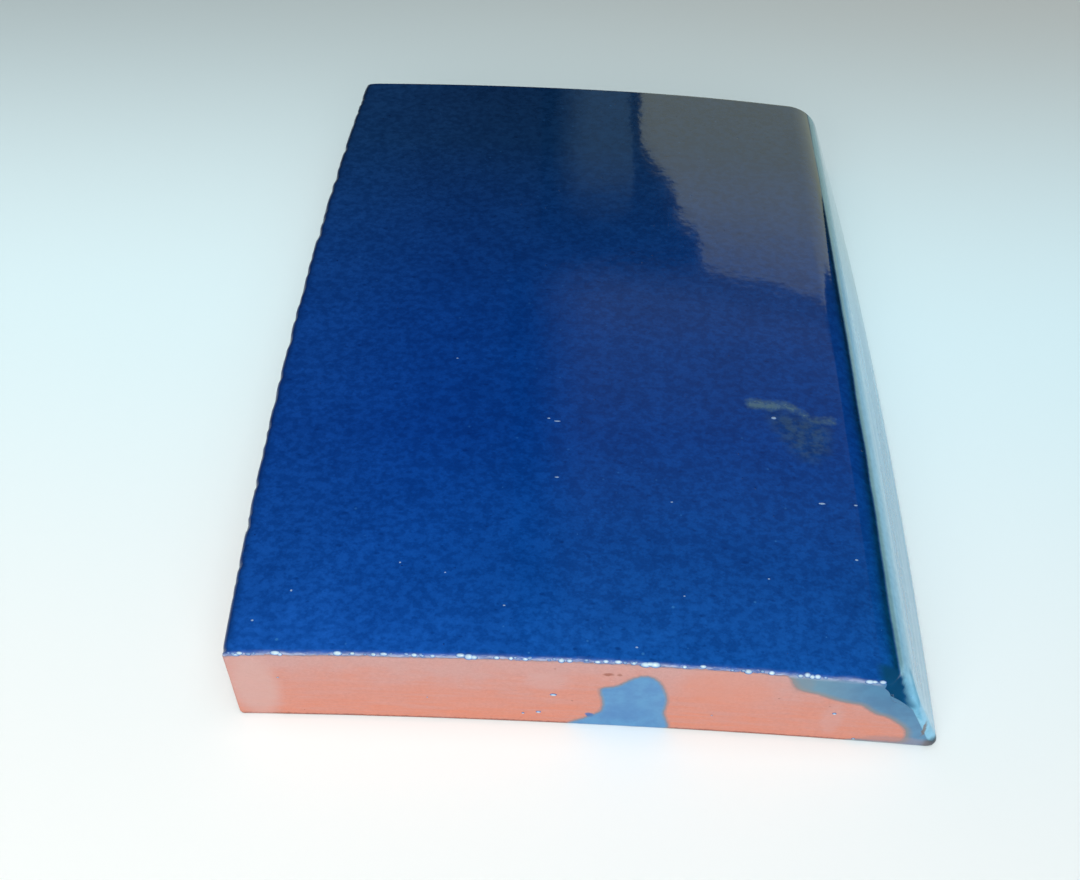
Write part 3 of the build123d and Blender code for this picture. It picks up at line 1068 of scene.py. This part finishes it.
studio = {
    "paperWhite": rgba(0.86, 0.90, 0.885),
    # painted light and shade on the paper: a cool cast of light, darker towards the back, lighter on the left
    # and darker on the right
    "paperCoolLight": rgba(0.72, 0.92, 0.96),
    "paperFarShade": rgba(0.56, 0.62, 0.588),
    "paperAway": rgba(0.80, 0.82, 0.83),
    "paperLeftLight": rgba(1.07, 1.06, 1.06),  # tints across the paper
    "paperFarLeftShade": rgba(0.82, 0.87, 0.93),
    "paperRightShade": rgba(0.90, 0.93, 0.955),
    "paperFarRightShade": rgba(0.815, 0.805, 0.83),
    "coolLightReach": (-110.0, 30.0),  # Y where these start and are full
    "farShadeReach": (12.0, 185.0),
    "sideReach": (-150.0, 150.0),  # X
    "awayReach": (320.0, 900.0),  # from the tile
    "paperRoughness": 0.9,
    "floorReach": 4000.0,
    "ambient": 0.22,
    "backdrop": 0.86,
}


def flatPiece(name, corners, faces, material):  # corners in millimetres
    mesh = bpy.data.meshes.new(name)
    mesh.from_pydata([tuple(mm * value for value in corner) for corner in corners], [], faces)
    mesh.materials.append(material)
    piece = bpy.data.objects.new(name, mesh)
    bpy.context.collection.objects.link(piece)
    return piece


def paperMaterial():
    material, tree, shader = newMaterial("paper")
    place = millimetres(tree)
    parts = separated(tree, place)
    # painted light and shade: a cool cast in the middle, darker towards the back, lighter on the left and
    # darker on the right
    coolLight = remap(tree, parts["Y"], *studio["coolLightReach"])
    far = remap(tree, parts["Y"], *studio["farShadeReach"])
    colour = blendColours(tree, coolLight, studio["paperWhite"], studio["paperCoolLight"])
    colour = blendColours(tree, far, colour, studio["paperFarShade"])
    distance = put(tree, "ShaderNodeVectorMath", {0: place}, operation="LENGTH").outputs["Value"]
    away = remap(tree, distance, *studio["awayReach"])
    colour = blendColours(tree, away, colour, studio["paperAway"])
    leftLightAndShade = blendColours(tree, far, studio["paperLeftLight"], studio["paperFarLeftShade"])
    rightShade = blendColours(tree, far, studio["paperRightShade"], studio["paperFarRightShade"])
    sidewaysLightAndShade = blendColours(tree, remap(tree, parts["X"], *studio["sideReach"]), leftLightAndShade, rightShade)
    feed(tree, shade(tree, 1.0, colour, sidewaysLightAndShade), shader.inputs["Base Color"])
    shader.inputs["Roughness"].default_value = studio["paperRoughness"]
    shader.inputs["Specular IOR Level"].default_value = 0.0
    return material


reach = studio["floorReach"]
floorCorners = [(-reach, -reach, 0), (reach, -reach, 0), (reach, reach, 0), (-reach, reach, 0)]
floor = flatPiece("paperFloor", floorCorners, [(0, 1, 2, 3)], paperMaterial())
print("stage: paper floor", 2 * reach, "mm wide")


def glow(name, colour, levels, fade=None):  # a mirrored surface whose glow changes with height, in mm
    material = bpy.data.materials.new(name)
    material.use_nodes = True
    tree = material.node_tree
    tree.nodes.clear()
    parts = separated(tree, millimetres(tree))
    strength = levels[0][1]
    for (lowZ, _), (highZ, level) in zip(levels, levels[1:]):
        strength = between(tree, remap(tree, parts["Z"], lowZ, highZ), strength, level)
    if fade:
        strength = times(tree, strength, remap(tree, parts["X"], *fade))
    light = put(tree, "ShaderNodeEmission", {"Color": colour, "Strength": strength})
    tree.links.new(light.outputs[0], put(tree, "ShaderNodeOutputMaterial").inputs["Surface"])
    return material


def roomPiece(name, corners, faces, colour, levels, fade=None):  # seen in the glaze and nowhere else
    piece = flatPiece(name, corners, faces, glow(name, colour, levels, fade))
    for unseenBy in ("camera", "diffuse", "transmission", "volume_scatter", "shadow"):
        setattr(piece, "visible_" + unseenBy, False)


# The room that the glaze mirrors; levels are height and glow, fades are X
room = {
    "flagHeight": 0.5,
    # X and Y of a flag over the paper in front, which the rounded front corner mirrors
    "flag": [(44, -84), (44, -500), (500, -500), (500, -30), (76, -52), (66, -80)],
    "halfSide": 2600.0,
    "height": 2600.0,
    "dimColour": rgba(0.80, 0.95, 1.0),
    "dimLevels": [(0, 0.018)],
    # X and Z of a bluish veil, a pale wall and a window on upright planes behind the tile
    "planeY": 700.0,
    "veilColour": rgba(0.43, 0.75, 1.0),
    "veilLevels": [(470, 0.44), (525, 0.12), (545, 0.018)],
    "veilFade": (-40, 5),
    "veil": [(-45, 90), (-45, 548), (20, 545), (44, 520), (45, 487), (42, 458), (37, 416), (34, 300),
             (30, 90)],
    "wallColour": rgba(0.95, 1.0, 0.72),
    "wallLevels": [(575, 0.07), (640, 0.25), (700, 0.19), (850, 0.12), (1040, 0.06), (1200, 0.035)],
    "wallFade": (-75, 25),
    "wall": [(-80, 1210), (-80, 600), (-6, 585), (62, 580), (110, 580), (134, 570), (300, 565), (420, 560),
             (480, 700), (600, 850), (800, 1210)],
    "windowColour": rgba(0.93, 1.02, 0.71),
    "windowLevels": [(480, 1.05), (570, 0.72)],
    "window": [(44, 1), (46, 250), (48, 415), (49, 429), (53, 448), (68, 464), (83, 478), (92, 492),
               (94, 506), (104, 520), (123, 530), (134, 565), (157, 571), (190, 575), (295, 577), (370, 545),
               (420, 480), (490, 380), (555, 290), (574, 250), (552, 120), (530, 1)],
}

corners = [(x, y, room["flagHeight"]) for x, y in room["flag"]]
roomPiece("flag", corners, [tuple(range(len(corners)))], room["dimColour"], room["dimLevels"])
side, top = room["halfSide"], room["height"]
roomPiece(
    "dimRoom",
    [(-side, -side, 0), (side, -side, 0), (side, side, 0), (-side, side, 0),
     (-side, -side, top), (side, -side, top), (side, side, top), (-side, side, top)],
    [(0, 1, 5, 4), (1, 2, 6, 5), (2, 3, 7, 6), (3, 0, 4, 7), (4, 5, 6, 7)],
    room["dimColour"], room["dimLevels"],
)
for name, depth in (("wall", 0), ("veil", 10), ("window", 20)):
    corners = [(x, room["planeY"] - depth, z) for x, z in room[name]]
    colour, levels, fade = (room.get(name + kind) for kind in ("Colour", "Levels", "Fade"))
    roomPiece(name + "Card", corners, [tuple(range(len(corners)))], colour, levels, fade)
print("stage: room, flag and three cards for the glaze to mirror")


# Lamps and the sky

lamps = {  # place, what it faces, size in mm and radiance
    "overhead": [(0, -250, 1200), (0, 0, 0), (1300, 1000), 1.45],
    "front": [(-60, -700, 480), (0, 0, 0), (1100, 420), 2.6],
    "side": [(850, 100, 520), (0, 0, 0), (600, 420), 2.2],
    "sparkle": [(60, -900, 900), (0, 0, 0), (260, 260), 16.0],
}


def softLamp(name, place, target, size, radiance):
    lamp = bpy.data.lights.new(name, "AREA")
    lamp.shape = "RECTANGLE"
    lamp.size, lamp.size_y = (value * mm for value in size)
    lamp.energy = radiance * lamp.size * lamp.size_y * pi
    piece = bpy.data.objects.new(name, lamp)
    bpy.context.collection.objects.link(piece)
    piece.location = Vector(place) * mm
    piece.rotation_euler = (Vector(place) - Vector(target)).to_track_quat("Z", "Y").to_euler()
    piece.visible_camera = False
    return piece


for name, settings in lamps.items():
    piece = softLamp(name, *settings)
    piece.data.use_shadow = name != "side"
    piece.visible_glossy = name == "sparkle"
print("lamps:", ", ".join(lamps))

world = bpy.data.worlds.new("paleStudio")
bpy.context.scene.world = world
world.use_nodes = True
sky = world.node_tree
paths = put(sky, "ShaderNodeLightPath").outputs
seen = maths(sky, "MAXIMUM", paths["Is Camera Ray"], paths["Is Glossy Ray"])
seen = maths(sky, "MAXIMUM", seen, paths["Is Transmission Ray"])
ambient, backdrop = (rgba(*(studio[name],) * 3) for name in ("ambient", "backdrop"))
feed(sky, blendColours(sky, seen, ambient, backdrop), sky.nodes["Background"].inputs["Color"])


# The camera, from the photograph's own perspective

camera = {
    "place": (-3.85, -173.9, 175.5),
    "target": (-9.25, -15.6, 0.0),
    "roll": 1.02,
    "focalPixels": 1250.0,
    "pictureWidth": 1080.0,
    "sensorWidth": 36.0,
}


def addCamera():
    data = bpy.data.cameras.new("viewpoint")
    data.sensor_fit = "HORIZONTAL"
    data.sensor_width = camera["sensorWidth"]
    data.lens = data.sensor_width * camera["focalPixels"] / camera["pictureWidth"]
    data.clip_start, data.clip_end = 0.01, 50.0
    piece = bpy.data.objects.new("viewpoint", data)
    bpy.context.collection.objects.link(piece)
    aim = Vector(camera["target"]) - Vector(camera["place"])
    turn = aim.to_track_quat("-Z", "Y").to_matrix() @ Matrix.Rotation(radians(camera["roll"]), 3, "Z")
    piece.matrix_world = Matrix.Translation(Vector(camera["place"]) * mm) @ turn.to_4x4()
    bpy.context.scene.camera = piece


addCamera()
bpy.context.scene.view_settings.view_transform = "Standard"
print("camera: at", camera["place"], "mm")

bpy.context.view_layer.update()
